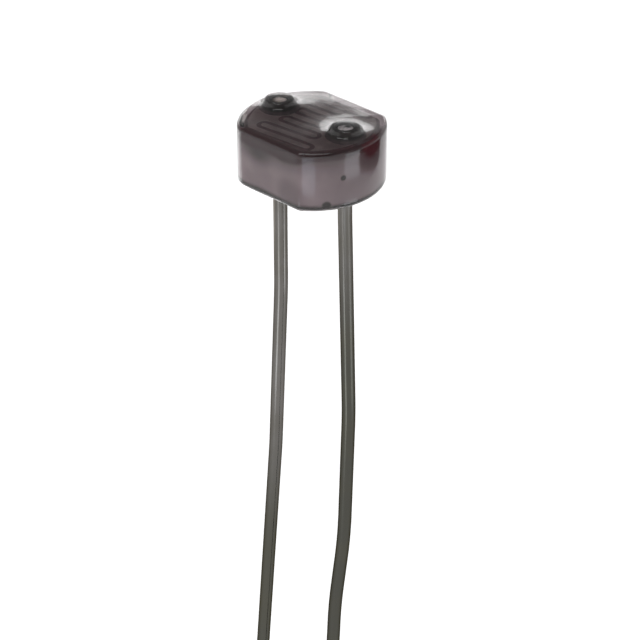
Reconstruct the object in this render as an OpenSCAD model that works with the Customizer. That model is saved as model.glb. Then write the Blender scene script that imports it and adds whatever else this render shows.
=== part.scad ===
// Photoresistor with two wire leads, in millimetres.
// A ceramic chip carries a photoconductive film and two comb electrodes. A headed lead goes down through
// each end of the chip, conductive paste joins its head to the electrode, and clear resin coats it all.
// The origin is the middle of the coat's flat underside. +Z points out of the light-sensitive face and
// +X runs along the row of leads.

/* [Ceramic chip] */
// Diameter of the chip over its two round ends
chip_d = 4.6; // [4.3:0.1:6]
// Width of the chip across its two flats
chip_w = 3.74; // [3:0.02:4]
// Thickness of the chip
chip_t = 1.85; // [1:0.05:3]
// Chamfer round the chip's upper and lower faces
chip_chamfer = 0.1; // [0.04:0.02:0.16]
// Gap between a lead and the wall of its hole
hole_gap = 0.04; // [0.02:0.01:0.06]

/* [Light-sensitive face] */
// Thickness of the photoconductive film
film_t = 0.05; // [0.03:0.01:0.1]
// Thickness of the two metal electrodes
metal_t = 0.03; // [0.02:0.01:0.06]
// Bare rim of film outside the electrodes
metal_margin = 0.03; // [0.02:0.01:0.1]
// Distance from one comb finger to the next, which belongs to the other electrode
finger_pitch = 0.39; // [0.32:0.01:0.5]
// Width of the serpentine track of bare film between the electrodes
track_w = 0.17; // [0.06:0.01:0.2]
// Reach of a finger on the middle line, past the middle of the face
finger_reach = 0.65; // [0.3:0.05:0.65]
// Further reach of a finger for each millimetre that it lies off the middle line
finger_slant = 0.4; // [0:0.05:0.45]
// Turn of the printed pattern on the chip, in degrees
pattern_turn = 5; // [-6:1:6]
// Shift of the printed pattern along the row of leads
pattern_shift = -0.1; // [-0.15:0.05:0.15]

/* [Leads] */
// Diameter of the lead wire
lead_d = 0.5; // [0.4:0.05:0.6]
// Distance between the leads at the chip
lead_pitch = 3.15; // [2.9:0.05:3.3]
// Length of each lead below the coat, along the wire
lead_length = 31; // [24:1:40]
// Diameter of the upset head that seats on the electrode
head_d = 0.62; // [0.6:0.01:0.7]
// Height of the upset head above the electrode
head_h = 0.28; // [0.2:0.02:0.4]
// Chamfer round the head's top and the lead's cut end
wire_chamfer = 0.06; // [0.02:0.01:0.1]
// Radius of every bend, at the middle of the wire
bend_r = 20; // [10:1:30]
// Diameter that the wire loses where it is bent
bend_draw = 0.004; // [0.003:0.001:0.01]

/* [Left lead bends] */
// Straight run from the coat to the first bend
left_run_1 = 4.3; // [1:0.1:6]
// Angle of the first bend in degrees, positive towards +X
left_bend_1 = -3; // [-8:0.2:-1]
// Straight run from the first bend to the second
left_run_2 = 6; // [3:0.1:8]
// Angle of the second bend in degrees
left_bend_2 = -2; // [-8:0.2:-1]

/* [Right lead bends] */
// Straight run from the coat to the first bend
right_run_1 = 0.4; // [0.3:0.1:2]
// Angle of the first bend in degrees, positive towards +X
right_bend_1 = 1.8; // [0.4:0.2:4]
// Straight run from the first bend to the second
right_run_2 = 7; // [4:0.1:9]
// Angle of the second bend in degrees
right_bend_2 = -3.8; // [-8:0.2:-1]
// Straight run from the second bend to the third
right_run_3 = 3.8; // [2:0.1:5]
// Angle of the third bend in degrees
right_bend_3 = -5.8; // [-8:0.2:-1]
// Straight run from the third bend to the fourth
right_run_4 = 1.5; // [0.5:0.1:3]
// Angle of the fourth bend in degrees
right_bend_4 = 5; // [1:0.2:8]

/* [Contact paste] */
// Diameter of the paste bead on the electrode
bead_d = 1.3; // [1.1:0.02:1.32]
// Width of the bead's rim at its top
bead_rim = 0.13; // [0.05:0.01:0.2]
// Height of the bead, whose rim stands above the head
bead_h = 0.46; // [0.42:0.02:0.6]

/* [Resin coat] */
// Thickness of the coat round the chip's side
coat_side = 0.25; // [0.2:0.01:0.5]
// Thickness of the coat over the electrodes
coat_top = 0.2; // [0.14:0.02:0.26]
// Thickness of the coat under the chip
coat_base = 0.12; // [0.08:0.02:0.4]
// Radius round the coat's upper edge
top_edge_r = 0.2; // [0.06:0.02:0.3]
// Radius round the coat's lower edge
base_edge_r = 0.26; // [0.1:0.02:0.4]
// Thickness of the skin of resin over each bead
skin_t = 0.07; // [0.04:0.01:0.1]
// Radius of the hollow flare where the coat rises over a bead
flare_r = 0.18; // [0.1:0.01:0.2]
// Radius of the crown over each bead
crown_r = 4; // [2:0.5:6]
// Radius of the hollow collar where a lead leaves the coat
collar_r = 0.22; // [0.1:0.02:0.3]
// Thickness of the collar at its lower end
collar_t = 0.03; // [0.02:0.01:0.08]

/* [Hidden] */
$fn = 96;

LEFT = -1;
RIGHT = 1;

// Heights of the stack above the coat's underside
chip_top = coat_base + chip_t;
film_top = chip_top + film_t;
face_z = film_top + metal_t;
body_h = face_z + coat_top;
body_d = chip_d + 2 * coat_side;
body_w = chip_w + 2 * coat_side;

// The chip's flat upper face, inside its chamfer, and the part of it that the metal may cover
face_d = chip_d - 2 * chip_chamfer;
face_w = chip_w - 2 * chip_chamfer;
metal_d = face_d - 2 * metal_margin;
metal_w = face_w - 2 * metal_margin;

// Fingers lie on both sides of the middle one, as many as the metal's width holds
finger_w = finger_pitch - track_w;
side_fingers = floor((metal_w - finger_w) / 2 / finger_pitch);
comb_w = 2 * side_fingers * finger_pitch + finger_w;

hole_d = lead_d + 2 * hole_gap;
bead_top_d = head_d + 2 * bead_rim;

// Rise over a bead: it stands off the bead's side and top by the skin
rise_h = bead_h + skin_t - coat_top;
bead_run = (bead_d - bead_top_d) / 2;
rise_angle = atan2(bead_h, bead_run);
rise_base_r = bead_d / 2 + skin_t / sin(rise_angle) - coat_top / tan(rise_angle);
rise_top_r = rise_base_r - rise_h / tan(rise_angle);
flare_foot = flare_r * tan(rise_angle / 2);

// Straight runs and bends of each lead, from the coat down
left_route = [
    [left_run_1, left_bend_1],
    [left_run_2, left_bend_2]
];
right_route = [
    [right_run_1, right_bend_1],
    [right_run_2, right_bend_2],
    [right_run_3, right_bend_3],
    [right_run_4, right_bend_4]
];

// How far a cut or a clipping shape runs past the face that it meets
past = 1;

// Length of a bend's arc that lies inside the straight run at each of its ends
bend_lap = 0.1;
lap_angle = bend_lap / bend_r * 180 / PI;

function lead_x(side) = side * lead_pitch / 2;
function arc_length(angle) = bend_r * abs(angle) * PI / 180;
function finger_y(i) = i * finger_pitch;
function finger_tip(i) = finger_reach + finger_slant * abs(finger_y(i));
function fingers_of(side) = [for (i = [-side_fingers : side_fingers]) if ((i % 2 == 0) == (side == LEFT)) i];

// Outline of the chip's face: a disc with two flats
module flatted_disc(d, w) {
    intersection() {
        circle(d = d);
        square([d + past, w], center = true);
    }
}

// A solid with round ends and two flats, whose upper and lower edges have the given profile
module flatted_solid(d, w) {
    intersection() {
        rotate_extrude()
            intersection() {
                children();
                translate([0, -past])
                    square([d, body_h + 2 * past]);
            }
        rotate([90, 0, 90])
            linear_extrude(d + 2 * past, center = true)
                intersection_for (s = [-1, 1])
                    translate([s * (d - w) / 2, 0])
                        children();
    }
}

// Cross-section of the chip along its diameter
module chip_profile() {
    half = chip_d / 2;
    polygon([
        [-half, chip_chamfer],
        [-half + chip_chamfer, 0],
        [half - chip_chamfer, 0],
        [half, chip_chamfer],
        [half, chip_t - chip_chamfer],
        [half - chip_chamfer, chip_t],
        [-half + chip_chamfer, chip_t],
        [-half, chip_t - chip_chamfer]
    ]);
}

// Round-ended bar across the coat's cross-section, which rounds an edge at both of its ends
module edge_bar(r, z) {
    half = body_d / 2 - r;
    translate([-half, z - r])
        square([2 * half, 2 * r]);
    for (x = [-half, half])
        translate([x, z])
            circle(r = r);
}

// Cross-section of the coat along its diameter, with round corners
module coat_profile() {
    edge_bar(base_edge_r, base_edge_r);
    edge_bar(top_edge_r, body_h - top_edge_r);
    translate([-body_d / 2, base_edge_r])
        square([body_d, body_h - base_edge_r - top_edge_r]);
}

module lead_holes(z, h) {
    for (side = [LEFT, RIGHT])
        translate([lead_x(side), 0, z - past])
            cylinder(d = hole_d, h = h + 2 * past);
}

module ceramic_chip() {
    color("rosybrown")
        difference() {
            translate([0, 0, coat_base])
                flatted_solid(chip_d, chip_w)
                    chip_profile();
            lead_holes(coat_base, chip_t);
        }
}

module photo_film() {
    color("maroon")
        difference() {
            translate([0, 0, chip_top])
                linear_extrude(film_t)
                    flatted_disc(face_d, face_w);
            lead_holes(chip_top, film_t);
        }
}

// A finger of one comb, from far outside the face to its round tip, made wider by grow on each side
module finger(side, i, grow) {
    r = finger_w / 2;
    translate([-side * (finger_tip(i) - r), finger_y(i)]) {
        circle(r = r + grow);
        translate([side > 0 ? 0 : -chip_d, -r - grow])
            square([chip_d, finger_w + 2 * grow]);
    }
}

// One electrode: its half of the face and its own fingers, less the track round the other comb's fingers
module electrode_outline(side) {
    intersection() {
        flatted_disc(metal_d, metal_w);
        rotate(pattern_turn)
            translate([pattern_shift, 0])
                difference() {
                    union() {
                        translate([side > 0 ? 0 : -chip_d, -comb_w / 2])
                            square([chip_d, comb_w]);
                        for (i = fingers_of(side))
                            finger(side, i, 0);
                    }
                    for (i = fingers_of(-side))
                        finger(-side, i, track_w);
                }
    }
}

module electrode(side) {
    difference() {
        translate([0, 0, film_top])
            linear_extrude(metal_t)
                electrode_outline(side);
        lead_holes(film_top, metal_t);
    }
}

module electrode_left() {
    color("dimgray")
        electrode(LEFT);
}

module electrode_right() {
    color("dimgray")
        electrode(RIGHT);
}

// Paste cone round a head, which is sunk in it
module contact_bead(side) {
    translate([lead_x(side), 0, face_z])
        difference() {
            cylinder(d1 = bead_d, d2 = bead_top_d, h = bead_h);
            translate([0, 0, -past])
                cylinder(d = head_d, h = bead_h + 2 * past);
        }
}

module contact_bead_left() {
    color("darkslategray")
        contact_bead(LEFT);
}

module contact_bead_right() {
    color("darkslategray")
        contact_bead(RIGHT);
}

// A bend of the wire in the row's plane, hanging from the origin and lapped into both straight runs
module wire_bend(angle) {
    turned = angle < 0 ? 180 : 0;
    rotate([0, 0, turned])
        translate([bend_r, 0, 0])
            rotate([90, 0, 0])
                rotate([0, 0, 180 - lap_angle])
                    rotate_extrude(angle = abs(angle) + 2 * lap_angle)
                        translate([bend_r, 0])
                            circle(d = lead_d - bend_draw);
}

// Wire hanging from the origin: straight run, bend, and then the rest of the route
module wire(route, length, step = 0) {
    if (step == len(route)) {
        translate([0, 0, -length]) {
            translate([0, 0, wire_chamfer])
                cylinder(d = lead_d, h = length - wire_chamfer);
            cylinder(d1 = lead_d - 2 * wire_chamfer, d2 = lead_d, h = wire_chamfer);
        }
    } else {
        run = route[step][0];
        angle = route[step][1];
        toward = sign(angle);
        translate([0, 0, -run]) {
            cylinder(d = lead_d, h = run);
            wire_bend(angle);
            translate([toward * bend_r * (1 - cos(angle)), 0, -bend_r * sin(abs(angle))])
                rotate([0, -angle, 0])
                    wire(route, length - run - arc_length(angle), step + 1);
        }
    }
}

// Headed lead: the head seats on the electrode and the shank goes down through the chip
module lead(side, route) {
    translate([lead_x(side), 0, 0]) {
        translate([0, 0, face_z]) {
            cylinder(d = head_d, h = head_h - wire_chamfer);
            translate([0, 0, head_h - wire_chamfer])
                cylinder(d1 = head_d, d2 = head_d - 2 * wire_chamfer, h = wire_chamfer);
        }
        cylinder(d = lead_d, h = face_z);
        wire(route, lead_length);
    }
}

module lead_left() {
    color("darkgray")
        lead(LEFT, left_route);
}

module lead_right() {
    color("darkgray")
        lead(RIGHT, right_route);
}

// Half section of the coat's rise over a bead, standing on the coat's flat top
module rise_profile() {
    foot = [rise_base_r + flare_foot, 0];
    hollow = [foot[0], flare_r];
    side = rise_base_r - flare_foot * cos(rise_angle);
    intersection() {
        polygon([[0, 0], [rise_base_r, 0], [rise_top_r, rise_h], [0, rise_h]]);
        translate([0, rise_h - crown_r])
            circle(r = crown_r);
    }
    difference() {
        polygon([[rise_base_r, 0], foot, hollow, [side, flare_foot * sin(rise_angle)]]);
        translate(hollow)
            circle(r = flare_r);
    }
}

// Half section of the hollow collar where a lead leaves the coat
module collar_profile() {
    inner = lead_d / 2;
    tip = inner + collar_t;
    difference() {
        translate([0, -collar_r])
            square([tip + collar_r, collar_r]);
        translate([tip + collar_r, -collar_r])
            circle(r = collar_r);
    }
}

module coat_solid() {
    flatted_solid(body_d, body_w)
        coat_profile();
    for (side = [LEFT, RIGHT])
        translate([lead_x(side), 0, 0]) {
            translate([0, 0, body_h])
                rotate_extrude()
                    rise_profile();
            rotate_extrude()
                collar_profile();
        }
}

module resin_coat() {
    color("thistle", 0.5)
        difference() {
            coat_solid();
            ceramic_chip();
            photo_film();
            electrode_left();
            electrode_right();
            contact_bead_left();
            contact_bead_right();
            lead_left();
            lead_right();
        }
}

ceramic_chip();
photo_film();
electrode_left();
electrode_right();
contact_bead_left();
contact_bead_right();
lead_left();
lead_right();
resin_coat();
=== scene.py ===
import math

import bmesh
import bpy
from mathutils import Matrix, Vector


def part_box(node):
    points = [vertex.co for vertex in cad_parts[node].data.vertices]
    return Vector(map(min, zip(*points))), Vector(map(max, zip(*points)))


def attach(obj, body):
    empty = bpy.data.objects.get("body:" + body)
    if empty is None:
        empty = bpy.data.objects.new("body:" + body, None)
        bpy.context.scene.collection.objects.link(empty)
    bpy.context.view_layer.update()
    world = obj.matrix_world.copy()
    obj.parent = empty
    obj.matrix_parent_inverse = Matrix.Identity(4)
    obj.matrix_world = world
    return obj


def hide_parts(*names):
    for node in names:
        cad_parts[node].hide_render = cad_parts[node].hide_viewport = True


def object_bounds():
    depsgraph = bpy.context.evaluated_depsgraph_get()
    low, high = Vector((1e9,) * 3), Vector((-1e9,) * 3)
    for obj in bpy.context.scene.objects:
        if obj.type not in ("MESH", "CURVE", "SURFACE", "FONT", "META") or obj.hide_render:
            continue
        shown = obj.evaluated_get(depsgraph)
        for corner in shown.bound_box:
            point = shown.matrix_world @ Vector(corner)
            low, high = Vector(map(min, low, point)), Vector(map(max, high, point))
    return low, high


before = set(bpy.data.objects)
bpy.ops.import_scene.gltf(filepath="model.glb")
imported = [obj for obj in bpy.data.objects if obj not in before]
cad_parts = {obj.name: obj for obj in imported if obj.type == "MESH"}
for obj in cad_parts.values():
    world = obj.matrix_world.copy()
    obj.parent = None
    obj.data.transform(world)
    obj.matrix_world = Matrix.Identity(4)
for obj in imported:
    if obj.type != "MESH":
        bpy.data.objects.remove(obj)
cad_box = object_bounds()
mm = 0.001

# Ceramic chip
# A pressed and fired alumina disc with two flats and a hole for each lead. It is the base that everything
# else sits on. The sintered film creeps a little way over its upper edge, so the edge is stained.
chip_low, chip_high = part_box("ceramic_chip")
chip_d = chip_high.x - chip_low.x
chip_w = chip_high.y - chip_low.y
chip_edge = 0.1 * mm
chip_edge_segments = 3
round_segments = 240
hole_segments = 64
chip_sharpness = (120, 120)
soft_corner = math.radians(-124)
hole_gap = 0.04 * mm
wire_r = 0.25 * mm
lead_pitch = 3.15 * mm
lead_places = {"lead_left": Vector((-lead_pitch / 2, 0, 0)), "lead_right": Vector((lead_pitch / 2, 0, 0))}
level_gap = 1e-7
merge_gap = 1e-8
sharp_edge = 40


def flatted_radius(angle, diameter, width, sharpness):
    """Distance from the axis to an outline with round ends and two flats, softest at its front left."""
    crisp, soft = sharpness
    share = max(0, 2 * math.cos(angle - soft_corner) - 1)
    power = crisp + (soft - crisp) * share**2 * (3 - 2 * share)
    past_flat = abs(math.sin(angle)) * diameter / width
    return diameter / 2 * (1 + past_flat**power) ** (-1 / power)


def draw_ring(shape, ring):
    """Extrudes a ring of edges and returns the new ring and its points, still in the old place."""
    drawn = bmesh.ops.extrude_edge_only(shape, edges=ring)["geom"]
    verts = [v for v in drawn if isinstance(v, bmesh.types.BMVert)]
    ends = set(verts)
    edges = [e for e in drawn if isinstance(e, bmesh.types.BMEdge) and set(e.verts) <= ends]
    return edges, verts


def loft_block(diameter, width, sharpness, levels):
    """A closed block whose outline is lofted up through levels of height and inset."""
    block = bmesh.new()
    bmesh.ops.create_circle(block, segments=round_segments, radius=diameter / 2)
    ring = block.edges[:]
    verts = block.verts[:]
    for index, (height, inset) in enumerate(levels):
        if index:
            ring, verts = draw_ring(block, ring)
        for v in verts:
            angle = math.atan2(v.co.y, v.co.x)
            r = flatted_radius(angle, diameter - 2 * inset, width - 2 * inset, sharpness)
            v.co = (r * math.cos(angle), r * math.sin(angle), height)
        if index in (0, len(levels) - 1):
            bmesh.ops.contextual_create(block, geom=ring)
    bmesh.ops.recalc_face_normals(block, faces=block.faces)
    return block


def round_rims(low, high, low_edge, high_edge, segments):
    """Levels of a block between two heights, with its lower and upper rims rounded."""
    turns = [math.pi / 2 * k / segments for k in range(segments + 1)]
    lower = [(low + low_edge * (1 - math.sin(t)), low_edge * (1 - math.cos(t))) for t in reversed(turns)]
    upper = [(high - high_edge * (1 - math.sin(t)), high_edge * (1 - math.cos(t))) for t in turns]
    return lower + upper


def faces_at(block, height):
    """The faces that lie flat at a height."""
    return [f for f in block.faces if all(abs(v.co.z - height) < level_gap for v in f.verts)]


def flat_face(block, height):
    """The largest face that lies flat at a height."""
    return max(faces_at(block, height), key=lambda f: f.calc_area())


def ring_in_face(block, face, places, radius):
    """Opens round holes in a flat face and returns the ring of edges at each hole."""
    height = face.verts[0].co.z
    border = face.edges[:]
    bmesh.ops.delete(block, geom=[face], context="FACES_ONLY")
    rings = []
    for place in places:
        made = bmesh.ops.create_circle(
            block,
            segments=hole_segments,
            radius=radius,
            matrix=Matrix.Translation((place.x, place.y, height)),
        )
        rings.append(list({e for v in made["verts"] for e in v.link_edges}))
    bmesh.ops.triangle_fill(block, edges=border + sum(rings, []), use_beauty=True)
    return rings


def drill_lead_holes(block, low, high):
    """Drills both lead holes through a block."""
    radius = wire_r + hole_gap
    lower = ring_in_face(block, flat_face(block, low), lead_places.values(), radius)
    upper = ring_in_face(block, flat_face(block, high), lead_places.values(), radius)
    for a, b in zip(lower, upper):
        bmesh.ops.bridge_loops(block, edges=a + b)


def finished_piece(shape, name, sharp_angle):
    """Turns a shape into an object with smooth faces and edges that stay sharp above an angle in degrees."""
    bmesh.ops.remove_doubles(shape, verts=shape.verts, dist=merge_gap)
    bmesh.ops.recalc_face_normals(shape, faces=shape.faces)
    mesh = bpy.data.meshes.new(name)
    shape.to_mesh(mesh)
    shape.free()
    mesh.polygons.foreach_set("use_smooth", [True] * len(mesh.polygons))
    mesh.set_sharp_from_angle(angle=math.radians(sharp_angle))
    piece = bpy.data.objects.new(name, mesh)
    bpy.context.scene.collection.objects.link(piece)
    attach(piece, "root")
    return piece


def new_finish(name):
    """A new material with its node tree and its main shader."""
    finish = bpy.data.materials.new(name)
    finish.use_nodes = True
    return finish, finish.node_tree, finish.node_tree.nodes["Principled BSDF"]


def put(tree, kind, inputs=(), **settings):
    """Adds a node to a tree, with its settings and its inputs as values or links."""
    made = tree.nodes.new(kind)
    for key, value in settings.items():
        setattr(made, key, value)
    for key, value in dict(inputs).items():
        if isinstance(value, bpy.types.NodeSocket):
            tree.links.new(value, made.inputs[key])
        else:
            made.inputs[key].default_value = value
    return made


def grain(tree, place, scale, detail=3.0, rough=0.6):
    """A noise with so many patches in a millimetre."""
    inputs = {"Vector": place, "Scale": scale / mm, "Detail": detail, "Roughness": rough}
    return put(tree, "ShaderNodeTexNoise", inputs).outputs["Fac"]


def ramp(tree, value, low, high, start=0.0, end=1.0):
    """A smooth climb from start to end as a value goes from low to high."""
    inputs = {"Value": value, "From Min": low, "From Max": high, "To Min": start, "To Max": end}
    return put(tree, "ShaderNodeMapRange", inputs, interpolation_type="SMOOTHSTEP").outputs["Result"]


def blend(tree, share, first, second):
    """A colour between two others."""
    made = put(tree, "ShaderNodeMix", data_type="RGBA")
    for key, value in (("Factor_Float", share), ("A_Color", first), ("B_Color", second)):
        socket = next(s for s in made.inputs if s.identifier == key)
        if isinstance(value, bpy.types.NodeSocket):
            tree.links.new(value, socket)
        else:
            socket.default_value = value
    return next(s for s in made.outputs if s.identifier == "Result_Color")


def maths(tree, operation, a, b=0.0, c=0.0):
    """The result of a sum on two or three values."""
    return put(tree, "ShaderNodeMath", {0: a, 1: b, 2: c}, operation=operation).outputs[0]


def roughen(tree, shader, height, depth):
    """Bump of so many metres, from a height between 0 and 1."""
    inputs = {"Height": height, "Distance": depth, "Strength": 1.0}
    bump = put(tree, "ShaderNodeBump", inputs)
    tree.links.new(bump.outputs["Normal"], shader.inputs["Normal"])


def dab(tree, place, colour, paint, middle, core, reach):
    """A colour with a soft round dab of paint on it, full within its core and gone past its reach."""
    away = put(tree, "ShaderNodeVectorMath", {0: place, 1: middle}, operation="DISTANCE").outputs["Value"]
    return blend(tree, ramp(tree, away, core, reach, 1.0, 0.0), colour, paint)


chip_colour = (0.33, 0.264, 0.278, 1)
chip_pale = (0.41, 0.338, 0.354, 1)
chip_painted_shade = (0.115, 0.09, 0.092, 1)
cloud_scale = 0.7
mid_range = (0.35, 0.65)
ceramic_grain = 25
ceramic_bump = 0.004 * mm

# Ragged painted shade and stain under the upper edge, lower on the left than at the right end, and a darker
# lower rim
rag_depth = 0.25 * mm
creep_start = 0.9 * mm
creep_end = 1.7 * mm
creep_depth = 0.22 * mm
painted_shade_start = 1.0 * mm
# Painted shade at the right end of the side
painted_end_shade_start = 1.6 * mm
painted_end_shade_share = 0.3
stain_colour = (0.05, 0.017, 0.02, 1)
stain_reach = 0.31 * mm
stain_full = 0.124 * mm
dark_rim_and_speck_colour = (0.035, 0.033, 0.026, 1)
dark_rim_full = 0.08 * mm
dark_rim_reach = 0.32 * mm

# Dabs of colour on the side: a dull patch, a red run with a brown fringe, a dark patch at the upper left and
# two specks
dull_colour = (0.25, 0.196, 0.206, 1)
dull_place = Vector((0.9, -1.87, 0.5)) * mm
dull_core = 0.24 * mm
dull_reach = 0.8 * mm
run_colour = (0.09, 0.006, 0.014, 1)
run_place = Vector((2.25, 0.45, 2.0)) * mm
run_core = 0.31 * mm
run_reach = 0.62 * mm
fringe_colour = (0.165, 0.12, 0.122, 1)
fringe_core = 0.55 * mm
fringe_reach = 1.1 * mm
dark_patch_colour = (0.07, 0.052, 0.053, 1)
dark_patch_place = Vector((-0.6, -1.87, 1.75)) * mm
dark_patch_core = 0.19 * mm
dark_patch_reach = 0.95 * mm
specks = [(Vector((2.17, -0.76, 1.14)) * mm, 0.13 * mm), (Vector((1.92, -1.27, 0.2)) * mm, 0.2 * mm)]

chip_levels = round_rims(chip_low.z, chip_high.z, chip_edge, chip_edge, chip_edge_segments)
chip = loft_block(chip_d, chip_w, chip_sharpness, chip_levels)
drill_lead_holes(chip, chip_low.z, chip_high.z)
chip_piece = finished_piece(chip, "chip_body", sharp_edge)
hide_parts("ceramic_chip")

ceramic, tree, shader = new_finish("fired_ceramic")
place = put(tree, "ShaderNodeTexCoord").outputs["Object"]
axes = put(tree, "ShaderNodeSeparateXYZ", {0: place}).outputs
cloud = grain(tree, place, cloud_scale)
colour = blend(tree, ramp(tree, cloud, *mid_range), chip_colour, chip_pale)
ragged = maths(tree, "MULTIPLY_ADD", cloud, rag_depth, axes["Z"])
creep = ramp(tree, axes["X"], creep_start, creep_end, 0.0, creep_depth)
stain_edge = maths(tree, "SUBTRACT", ragged, creep)
# Painted shade: the side darkens towards its upper edge, and more at the right end
painted_shade = ramp(tree, stain_edge, chip_low.z + painted_shade_start, chip_high.z)
colour = blend(tree, painted_shade, colour, chip_painted_shade)
painted_end_shade = ramp(tree, axes["X"], painted_end_shade_start, chip_high.x, 0.0, painted_end_shade_share)
colour = blend(tree, painted_end_shade, colour, chip_painted_shade)
colour = dab(tree, place, colour, dull_colour, dull_place, dull_core, dull_reach)
colour = dab(tree, place, colour, fringe_colour, run_place, fringe_core, fringe_reach)
colour = dab(tree, place, colour, dark_patch_colour, dark_patch_place, dark_patch_core, dark_patch_reach)
stain = ramp(tree, stain_edge, chip_high.z - stain_reach, chip_high.z - stain_full)
colour = blend(tree, stain, colour, stain_colour)
colour = dab(tree, place, colour, run_colour, run_place, run_core, run_reach)
# Darker along the lower rim
dark_rim = ramp(tree, ragged, chip_low.z + dark_rim_full, chip_low.z + dark_rim_reach, 1.0, 0.0)
colour = blend(tree, dark_rim, colour, dark_rim_and_speck_colour)
for speck_place, speck_reach in specks:
    colour = dab(tree, place, colour, dark_rim_and_speck_colour, speck_place, speck_reach / 2, speck_reach)
tree.links.new(colour, shader.inputs["Base Color"])
shader.inputs["Roughness"].default_value = 0.75
roughen(tree, shader, grain(tree, place, ceramic_grain), ceramic_bump)
chip_piece.data.materials.append(ceramic)

# Photoconductive film
# A thin layer of sintered cadmium compound, fired on the chip's upper face. It shows only where the metal
# leaves it bare, as the dark red-brown track that winds between the combs.
film_low, film_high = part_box("photo_film")
film_d = film_high.x - film_low.x
film_w = film_high.y - film_low.y
film_colour = (0.075, 0.03, 0.034, 1)
film_deep = (0.045, 0.016, 0.02, 1)
speckle_scale = 18
wide_range = (0.3, 0.7)
film_bump = 0.006 * mm
film = loft_block(film_d, film_w, chip_sharpness, [(film_low.z, 0), (film_high.z, 0)])
drill_lead_holes(film, film_low.z, film_high.z)
film_piece = finished_piece(film, "film_layer", sharp_edge)
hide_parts("photo_film")

sinter, tree, shader = new_finish("sintered_film")
place = put(tree, "ShaderNodeTexCoord").outputs["Object"]
speckle = grain(tree, place, speckle_scale)
colour = blend(tree, ramp(tree, speckle, *wide_range), film_deep, film_colour)
tree.links.new(colour, shader.inputs["Base Color"])
shader.inputs["Roughness"].default_value = 0.6
roughen(tree, shader, speckle, film_bump)
film_piece.data.materials.append(sinter)

# Comb electrodes
# Two films of metal, evaporated through a mask, whose fingers lie between each other. They are the packed
# solids themselves, thin flat plates, with the dull grey-brown of a metal film under resin.
metal_dark = (0.152, 0.112, 0.109, 1)
metal_light = (0.224, 0.175, 0.17, 1)
metal_patches = 1.2
metal_rough = (0.45, 0.6)
metal_grain = 20
metal_bump = 0.003 * mm
metal, tree, shader = new_finish("evaporated_metal")
place = put(tree, "ShaderNodeTexCoord").outputs["Object"]
patch = grain(tree, place, metal_patches)
colour = blend(tree, ramp(tree, patch, *mid_range), metal_dark, metal_light)
tree.links.new(colour, shader.inputs["Base Color"])
shader.inputs["Metallic"].default_value = 0.35
tree.links.new(ramp(tree, patch, *wide_range, *metal_rough), shader.inputs["Roughness"])
roughen(tree, shader, grain(tree, place, metal_grain), metal_bump)
for name in ("electrode_left", "electrode_right"):
    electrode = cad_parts[name]
    electrode.data.materials.clear()
    electrode.data.materials.append(metal)

# Leads
# Tinned copper wire, drawn through a die, with an upset head that seats on the electrode. Each wire is
# made straight here, then bent in a few gentle curves below the body, as the real one is by hand.
wire_segments = 48
wire_chamfer = 0.06 * mm
head_r = 0.31 * mm
lead_length = 31 * mm
bend_r = 20 * mm
bend_steps = 14
run_step = 0.8 * mm
seat_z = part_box("electrode_left")[1].z
head_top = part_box("lead_left")[1].z

# Straight runs and bends in degrees, from the coat down
lead_routes = {
    "lead_left": [(4.3 * mm, -3), (6 * mm, -2)],
    "lead_right": [(0.4 * mm, 1.8), (7 * mm, -3.8), (3.8 * mm, -5.8), (1.5 * mm, 5)],
}


def draw_down(shape, ring, centre, stations):
    """Draws a ring down a lead's axis through stations of height and radius, from the first, and caps it."""
    level, radius = stations[0]
    for z, r in stations[1:]:
        ring, verts = draw_ring(shape, ring)
        factor = r / radius
        bmesh.ops.scale(shape, verts=verts, vec=(factor, factor, 1), space=Matrix.Translation(-centre))
        bmesh.ops.translate(shape, verts=verts, vec=(0, 0, z - level))
        level, radius = z, r
    bmesh.ops.contextual_create(shape, geom=ring)


def straight_wire(place, stations):
    """A straight headed wire, drawn down through stations of height and radius."""
    wire = bmesh.new()
    first_z, first_r = stations[0]
    bmesh.ops.create_circle(wire, cap_ends=True, segments=wire_segments, radius=first_r)
    bmesh.ops.translate(wire, verts=wire.verts, vec=place + Vector((0, 0, first_z)))
    draw_down(wire, wire.edges[:], place, stations)
    return wire


def keep_straight_places(wire):
    """Keeps each point's place on the straight wire, so that the drawn streaks follow its bends."""
    layer = wire.verts.layers.float_vector.new("straight")
    for v in wire.verts:
        v[layer] = v.co
    return layer


def bend_wire(wire, layer, place, route):
    """Bends a straight wire in small turns at stations along each bend of its route."""
    along = 0.0
    pivot = place.copy()
    heading = Vector((0, 0, -1))
    for run, angle in route:
        along += run
        pivot = pivot + heading * run
        turn = math.radians(angle) / bend_steps
        step = bend_r * abs(turn)
        for index in range(bend_steps):
            travel = step if index else step / 2
            along += travel
            pivot = pivot + heading * travel
            matrix = Matrix.Rotation(-turn, 3, "Y")
            below = [v for v in wire.verts if v[layer].z < -along]
            bmesh.ops.rotate(wire, verts=below, cent=pivot, matrix=matrix)
            heading = matrix @ heading
        along += step / 2
        pivot = pivot + heading * (step / 2)


def wire_stations(route):
    """Heights and radii down a wire: its head, its shank, close rings along its bends, and its cut end."""
    stations = [
        (head_top, head_r - wire_chamfer),
        (head_top - wire_chamfer, head_r),
        (seat_z, head_r),
        (seat_z, wire_r),
        (0, wire_r),
    ]
    ends = []
    along = 0.0
    for run, angle in route:
        arc = bend_r * math.radians(abs(angle))
        ends += [(along, along + run, run_step), (along + run, along + run + arc, arc / bend_steps)]
        along += run + arc
    ends.append((along, lead_length - wire_chamfer, run_step))
    for start, end, spacing in ends:
        count = max(1, round((end - start) / spacing))
        stations += [(-(start + (end - start) * k / count), wire_r) for k in range(1, count + 1)]
    stations.append((-lead_length, wire_r - wire_chamfer))
    return stations


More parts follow.
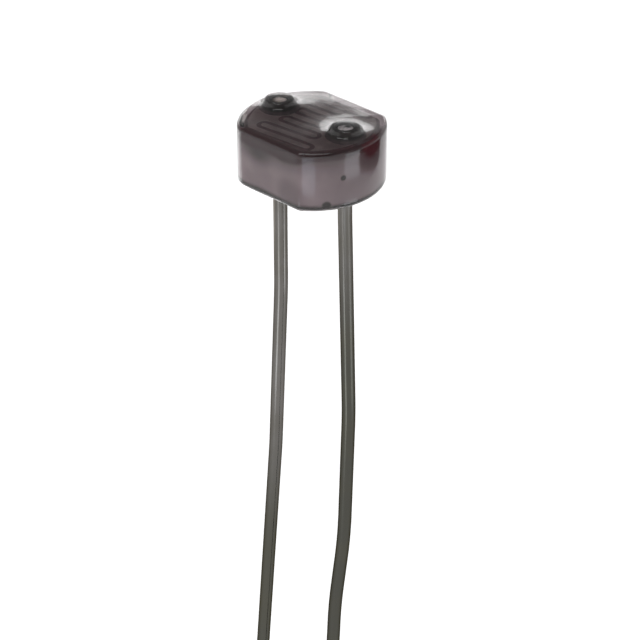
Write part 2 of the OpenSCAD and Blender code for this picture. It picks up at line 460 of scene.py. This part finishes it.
tin_light = (0.15, 0.142, 0.135, 1)
tin_dark = (0.078, 0.077, 0.066, 1)
tin_darkest = (0.07, 0.069, 0.06, 1)
tin_rim = (0.32, 0.31, 0.29, 1)
tin_rough = (0.16, 0.26)
drawn_stretch = (1, 1, 0.02)
streak_scale = 6
streak_detail = 4
streak_bump = 0.004 * mm
tarnish_colour = (0.085, 0.08, 0.06, 1)
tarnish_scale = 0.5
tarnish_share = 0.35
high_range = (0.35, 0.7)

# The wire is brighter near the coat and duller further down, and the right lead dulls sooner by the shift
middle_zone = 0.5 * mm
dulling_shift = 10 * mm
dulling_low = -17 * mm
dulling_high = -9 * mm

# The left head is dark with a painted glint, and the right one is grey with a painted shadow as a dark slit
head_dark = (0.07, 0.06, 0.05, 1)
head_grey = (0.34, 0.34, 0.335, 1)
painted_glint_colour = (0.5, 0.47, 0.43, 1)
painted_glint_place = Vector((-1.58, 0.06, 2.33)) * mm
painted_glint_core = 0.12 * mm
painted_glint_reach = 0.24 * mm
painted_slit_shadow_colour = (0.025, 0.03, 0.027, 1)
painted_slit_shadow_place = Vector((1.56, 0.12, 2.33)) * mm
painted_slit_shadow_core = 0.05 * mm
painted_slit_shadow_reach = 0.13 * mm

tin, tree, shader = new_finish("dull_tin")
place = put(tree, "ShaderNodeAttribute", attribute_name="straight").outputs["Vector"]
drawn_place = put(tree, "ShaderNodeMapping", {"Vector": place, "Scale": drawn_stretch}).outputs["Vector"]
streak = grain(tree, drawn_place, streak_scale, detail=streak_detail)
tarnish = grain(tree, place, tarnish_scale)
axes = put(tree, "ShaderNodeSeparateXYZ", {0: place}).outputs
to_right = ramp(tree, axes["X"], -middle_zone, middle_zone)
dulling = maths(tree, "MULTIPLY_ADD", to_right, -dulling_shift, axes["Z"])
lower_tin = blend(tree, to_right, tin_dark, tin_darkest)
colour = blend(tree, ramp(tree, dulling, dulling_low, dulling_high), lower_tin, tin_light)
colour = blend(tree, ramp(tree, tarnish, *high_range, 0.0, tarnish_share), colour, tarnish_colour)
head_colour = blend(tree, to_right, head_dark, head_grey)
# Painted glint on the left head
head_colour = dab(tree, place, head_colour, painted_glint_colour, painted_glint_place, painted_glint_core, painted_glint_reach)
# Painted shadow on the right head, a dark slit
head_colour = dab(tree, place, head_colour, painted_slit_shadow_colour, painted_slit_shadow_place, painted_slit_shadow_core, painted_slit_shadow_reach)
colour = blend(tree, ramp(tree, axes["Z"], seat_z, head_top), colour, head_colour)
tree.links.new(colour, shader.inputs["Base Color"])
shader.inputs["Metallic"].default_value = 1.0
shader.inputs["Specular Tint"].default_value = tin_rim
tree.links.new(ramp(tree, streak, *wide_range, *tin_rough), shader.inputs["Roughness"])
roughen(tree, shader, streak, streak_bump)

for name, route in lead_routes.items():
    wire = straight_wire(lead_places[name], wire_stations(route))
    layer = keep_straight_places(wire)
    bend_wire(wire, layer, lead_places[name], route)
    lead_piece = finished_piece(wire, name + "_wire", sharp_edge)
    lead_piece.data.materials.append(tin)
    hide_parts(name)

# Contact beads
# A dab of dark conductive paste round each head, which joins it to the electrode. It is a steep cone with a
# soft rim, and the head is sunk in it.
bead_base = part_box("contact_bead_left")[0].z
rim_w = 0.13 * mm
rim_round = 0.05 * mm
rim_steps = 6
paste_dark = (0.012, 0.011, 0.009, 1)
paste_light = (0.03, 0.025, 0.022, 1)
paste_thin = (0.062, 0.048, 0.047, 1)
thin_height = 0.08 * mm
thick_height = 0.24 * mm
lump_scale = 5
lump_bump = 0.02 * mm
# Painted highlight: a brown glint at the top of the left bead
painted_bead_glint_colour = (0.11, 0.065, 0.035, 1)
painted_bead_glint_place = Vector((-1.7, 0.3, 2.5)) * mm
painted_bead_glint_core = 0.09 * mm
painted_bead_glint_reach = 0.3 * mm

paste, tree, shader = new_finish("cured_paste")
place = put(tree, "ShaderNodeTexCoord").outputs["Object"]
lump = grain(tree, place, lump_scale)
height = put(tree, "ShaderNodeSeparateXYZ", {0: place}).outputs["Z"]
colour = blend(tree, ramp(tree, lump, *high_range), paste_dark, paste_light)
thick = ramp(tree, height, bead_base + thin_height, bead_base + thick_height)
colour = blend(tree, thick, paste_thin, colour)
# Painted highlight on the left bead
colour = dab(tree, place, colour, painted_bead_glint_colour, painted_bead_glint_place, painted_bead_glint_core, painted_bead_glint_reach)
tree.links.new(colour, shader.inputs["Base Color"])
shader.inputs["Roughness"].default_value = 0.5
roughen(tree, shader, lump, lump_bump)

for side in ("left", "right"):
    low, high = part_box("contact_bead_" + side)
    centre = lead_places["lead_" + side]
    base_r = (high.x - low.x) / 2
    rim_middle = head_r + rim_w / 2
    section = [(head_r, low.z), (base_r, low.z)]
    for k in range(rim_steps + 1):
        turn = math.pi * k / rim_steps
        reach = rim_middle + rim_w / 2 * math.cos(turn)
        section.append((reach, high.z - rim_round * (1 - math.sin(turn))))
    bead = bmesh.new()
    points = [bead.verts.new((centre.x + r, 0, z)) for r, z in section]
    walls = [bead.edges.new((a, b)) for a, b in zip(points, points[1:] + points[:1])]
    bmesh.ops.spin(
        bead,
        geom=points + walls,
        cent=centre,
        axis=(0, 0, 1),
        angle=math.tau,
        steps=hole_segments,
        use_merge=True,
    )
    bead_piece = finished_piece(bead, "paste_bead_" + side, sharp_edge)
    bead_piece.data.materials.append(paste)
    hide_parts("contact_bead_" + side)

# Resin coat
# Clear epoxy that the whole chip is dipped in, rounded at the rims and slightly crowned on top. It climbs
# over both heads in a soft meniscus and runs a little way down each lead as a collar. Only its outer skin is
# made, because the pieces inside fill it.
coat_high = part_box("resin_coat")[1]
coat_d = 2 * coat_high.x
coat_w = 2 * coat_high.y
coat_rim = 2.21 * mm
coat_crown = 0.056 * mm
top_edge = 0.13 * mm
base_edge = 0.24 * mm
coat_edge_segments = 10
coat_sharpness = (140, 40)
coat_sharp_edge = 80
top_rings = 44
centre_share = 0.5
rise_reach = 1.1 * mm
rise_grid_cuts = 2
collar_r = 0.22 * mm
collar_t = 0.03 * mm
collar_steps = 8

# Section of the meniscus over a bead: a flat crown, a soft shoulder, a steep side and a long hollow foot
crown_r = 6 * mm
side_r = 0.655 * mm
side_slope = 2.2
foot_rise = 0.105 * mm
foot_length = 0.27 * mm
section_blend = 0.013 * mm


def coat_dome(v):
    """Height of the crowned top over the rim, at a point of the top."""
    angle = math.atan2(v.co.y, v.co.x)
    rim = flatted_radius(angle, coat_d - 2 * top_edge, coat_w - 2 * top_edge, coat_sharpness)
    return coat_crown * max(0, 1 - (v.co.xy.length / rim) ** 2)


def softer(a, b, sign):
    """The higher of two heights for sign 1, the lower for sign -1, with a smooth change between them."""
    first, second = sorted((sign * a, sign * b))
    return sign * (second + section_blend * math.log1p(math.exp((first - second) / section_blend)))


def meniscus(r, dome):
    """Height of the resin over the rim, at a distance from a lead's axis."""
    crown = coat_high.z - coat_rim - min(r, rise_reach) ** 2 / (2 * crown_r)
    side = (side_r - r) * side_slope
    foot = dome + foot_rise * math.exp((side_r - r) / foot_length)
    return softer(crown, softer(side, foot, 1), -1)


def near_a_lead(face):
    """Whether a face of the top lies within the rise over a head."""
    middle = face.calc_center_median().xy
    return any((middle - centre.xy).length < rise_reach for centre in lead_places.values())


coat_levels = round_rims(0, coat_rim, base_edge, top_edge, coat_edge_segments)
coat = loft_block(coat_d, coat_w, coat_sharpness, coat_levels)

# Collars under the coat, each drawn down and in round its lead
collar_stations = []
for k in range(collar_steps + 1):
    turn = math.pi / 2 * k / collar_steps
    collar_reach = wire_r + collar_t + collar_r * (1 - math.sin(turn))
    collar_stations.append((-collar_r * (1 - math.cos(turn)), collar_reach))
collar_top_r = collar_stations[0][1]
rings = ring_in_face(coat, flat_face(coat, 0), lead_places.values(), collar_top_r)
for ring, centre in zip(rings, lead_places.values()):
    draw_down(coat, ring, centre, collar_stations)

# Crowned top with the meniscus over each head
top = flat_face(coat, coat_rim)
ring = top.edges[:]
bmesh.ops.delete(coat, geom=[top], context="FACES_ONLY")
for k in range(1, top_rings + 1):
    share = (top_rings - k) / (top_rings - k + 1) if k < top_rings else centre_share
    ring, verts = draw_ring(coat, ring)
    bmesh.ops.scale(coat, verts=verts, vec=(share, share, 1))
bmesh.ops.contextual_create(coat, geom=ring)
near = {e for f in faces_at(coat, coat_rim) if near_a_lead(f) for e in f.edges}
bmesh.ops.subdivide_edges(coat, edges=list(near), cuts=rise_grid_cuts, use_grid_fill=True)
for v in {v for f in faces_at(coat, coat_rim) for v in f.verts}:
    dome = coat_dome(v)
    v.co.z += max(meniscus((v.co.xy - centre.xy).length, dome) for centre in lead_places.values())
coat_piece = finished_piece(coat, "resin_shell", coat_sharp_edge)
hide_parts("resin_coat")

resin_tint = (0.84, 0.765, 0.79, 1)
base_dark_tint = (0.1, 0.085, 0.08, 1)
base_dark_top = 0.26 * mm
resin_waves = 0.9
resin_bump = 0.02 * mm
resin, tree, shader = new_finish("clear_resin")
place = put(tree, "ShaderNodeTexCoord").outputs["Object"]
height = put(tree, "ShaderNodeSeparateXYZ", {0: place}).outputs["Z"]
# The resin is tinted darker towards its base
colour = blend(tree, ramp(tree, height, 0.0, base_dark_top), base_dark_tint, resin_tint)
tree.links.new(colour, shader.inputs["Base Color"])
shader.inputs["Transmission Weight"].default_value = 1.0
shader.inputs["IOR"].default_value = 1.5
shader.inputs["Roughness"].default_value = 0.085
roughen(tree, shader, grain(tree, place, resin_waves, detail=1), resin_bump)
coat_piece.data.materials.append(resin)

# Camera
# It looks down on the part from its front right, about 80 mm off, through a long lens. The leads run out of
# the lower edge of its view.
camera_place = (49.852 * mm, -50.108 * mm, 35.582 * mm)
camera_aim = Vector((-0.6071, 0.6149, -0.5033))
camera_data = bpy.data.cameras.new("camera")
camera_data.lens = 129.375
camera_data.sensor_width = 36
camera_data.clip_start = 1 * mm
camera_data.clip_end = 10
camera = bpy.data.objects.new("camera", camera_data)
camera.location = camera_place
camera.rotation_mode = "QUATERNION"
camera.rotation_quaternion = camera_aim.to_track_quat("-Z", "Y")
bpy.context.scene.collection.objects.link(camera)
bpy.context.scene.camera = camera

# Floor
# A plain white sheet just under the tips of the leads, far larger than the view. Its glow shows to the
# camera, in reflections and through the resin, and adds no light to a matt face.
floor_gap = 0.2 * mm
floor_size = 4.0
floor_cells = 8
floor_colour = (0.82, 0.82, 0.82, 1)
floor_glow = 0.6
floor_shape = bmesh.new()
bmesh.ops.create_grid(floor_shape, x_segments=floor_cells, y_segments=floor_cells, size=floor_size / 2)
bmesh.ops.translate(floor_shape, verts=floor_shape.verts, vec=(0, 0, cad_box[0].z - floor_gap))
floor_mesh = bpy.data.meshes.new("floor")
floor_shape.to_mesh(floor_mesh)
floor_shape.free()
floor = bpy.data.objects.new("floor", floor_mesh)
bpy.context.scene.collection.objects.link(floor)

sheet, tree, shader = new_finish("white_sheet")
shader.inputs["Base Color"].default_value = floor_colour
shader.inputs["Roughness"].default_value = 0.9
shader.inputs["Specular IOR Level"].default_value = 0.0
shader.inputs["Emission Color"].default_value = (1, 1, 1, 1)
path = put(tree, "ShaderNodeLightPath").outputs
seen = maths(tree, "MAXIMUM", path["Is Camera Ray"], path["Is Transmission Ray"])
seen = maths(tree, "MAXIMUM", seen, path["Is Glossy Ray"])
tree.links.new(maths(tree, "MULTIPLY", seen, floor_glow), shader.inputs["Emission Strength"])
floor.data.materials.append(sheet)

# Light
# A pale room, white near the horizon and dimmer overhead and on the camera's side. A soft panel hangs above,
# and a low one behind washes over the back of the face. Five small low panels at the front and sides draw
# the glints on the coat and the wires.
room_white = (1, 1, 1, 1)
room_overhead = (0.21, 0.21, 0.214, 1)
room_camera_side = (0.15, 0.15, 0.15, 1)
overhead_range = (0.3, 0.52)
camera_side = (0.607, -0.615, 0.503)
camera_side_range = (0.7, 0.9)
room_strength = 0.9
world = bpy.data.worlds.new("pale_room")
bpy.context.scene.world = world
world.use_nodes = True
tree = world.node_tree
background = tree.nodes["Background"]
way = put(tree, "ShaderNodeTexCoord").outputs["Generated"]
climb = put(tree, "ShaderNodeSeparateXYZ", {0: way}).outputs["Z"]
colour = blend(tree, ramp(tree, climb, *overhead_range), room_white, room_overhead)
inputs = {0: way, 1: camera_side}
facing = put(tree, "ShaderNodeVectorMath", inputs, operation="DOT_PRODUCT").outputs["Value"]
colour = blend(tree, ramp(tree, facing, *camera_side_range), colour, room_camera_side)
tree.links.new(colour, background.inputs["Color"])
background.inputs["Strength"].default_value = room_strength

white_light = (1, 1, 1)
left_light = (0.92, 0.98, 1.05)
front_light = (0.85, 0.96, 1.12)
right_light = (0.92, 0.97, 1.04)

# Name, azimuth and elevation in degrees, distance, width and height in mm, brightness in times white, colour
panels = [
    ("panel_above", 20, 72, 250, 200, 200, 2.3, white_light),
    ("panel_behind", 228, 12.5, 200, 170, 61, 2.0, white_light),
    ("panel_left", 7, -37, 39, 10, 12, 2.4, left_light),
    ("panel_front", 39, -22.3, 35, 11, 5, 1.45, front_light),
    ("panel_far_left", -80, -25.5, 36, 22, 8, 1.8, white_light),
    ("panel_right", 106, -18.7, 34.2, 14, 5, 1.45, right_light),
    ("panel_low_right", 106, -34.2, 39, 14, 6.2, 2.0, right_light),
]


def direction(azimuth, elevation):
    """Unit vector towards an azimuth, 0 in front and 90 at the right, and an elevation, both in degrees."""
    a = math.radians(azimuth)
    e = math.radians(elevation)
    return Vector((math.sin(a) * math.cos(e), -math.cos(a) * math.cos(e), math.sin(e)))


def soft_panel(name, away, distance, width, height, bright, colour):
    """A soft panel that faces the part from a direction and a distance, so many times white."""
    data = bpy.data.lights.new(name, "AREA")
    data.shape = "RECTANGLE"
    data.size = width
    data.size_y = height
    data.energy = bright * math.pi * width * height
    data.color = colour
    lamp = bpy.data.objects.new(name, data)
    lamp.location = away * distance
    lamp.rotation_mode = "QUATERNION"
    lamp.rotation_quaternion = (-away).to_track_quat("-Z", "Y")
    lamp.visible_camera = False
    bpy.context.scene.collection.objects.link(lamp)


for name, azimuth, elevation, distance, width, height, bright, colour in panels:
    away = direction(azimuth, elevation)
    soft_panel(name, away, distance * mm, width * mm, height * mm, bright, colour)

# Dark card
# A small sheet of dark card, low behind the part's right and unseen by the camera. The right end of the coat
# mirrors it as a dark band.
card_away = direction(144, -15.6)
card_distance = 34.2 * mm
card_w = 28 * mm
card_h = 10 * mm
card_colour = (0.03, 0.03, 0.03, 1)
card_shape = bmesh.new()
bmesh.ops.create_grid(card_shape, x_segments=1, y_segments=1, size=0.5)
bmesh.ops.scale(card_shape, verts=card_shape.verts, vec=(card_w, card_h, 1))
card_turn = (-card_away).to_track_quat("-Z", "Y").to_matrix()
bmesh.ops.rotate(card_shape, verts=card_shape.verts, matrix=card_turn)
bmesh.ops.translate(card_shape, verts=card_shape.verts, vec=card_away * card_distance)
card_mesh = bpy.data.meshes.new("card_right")
card_shape.to_mesh(card_mesh)
card_shape.free()
card = bpy.data.objects.new("card_right", card_mesh)
card.visible_camera = False
bpy.context.scene.collection.objects.link(card)

card_finish, tree, shader = new_finish("dark_card")
shader.inputs["Base Color"].default_value = card_colour
shader.inputs["Roughness"].default_value = 0.8
card.data.materials.append(card_finish)

bpy.context.scene.view_settings.view_transform = "Standard"
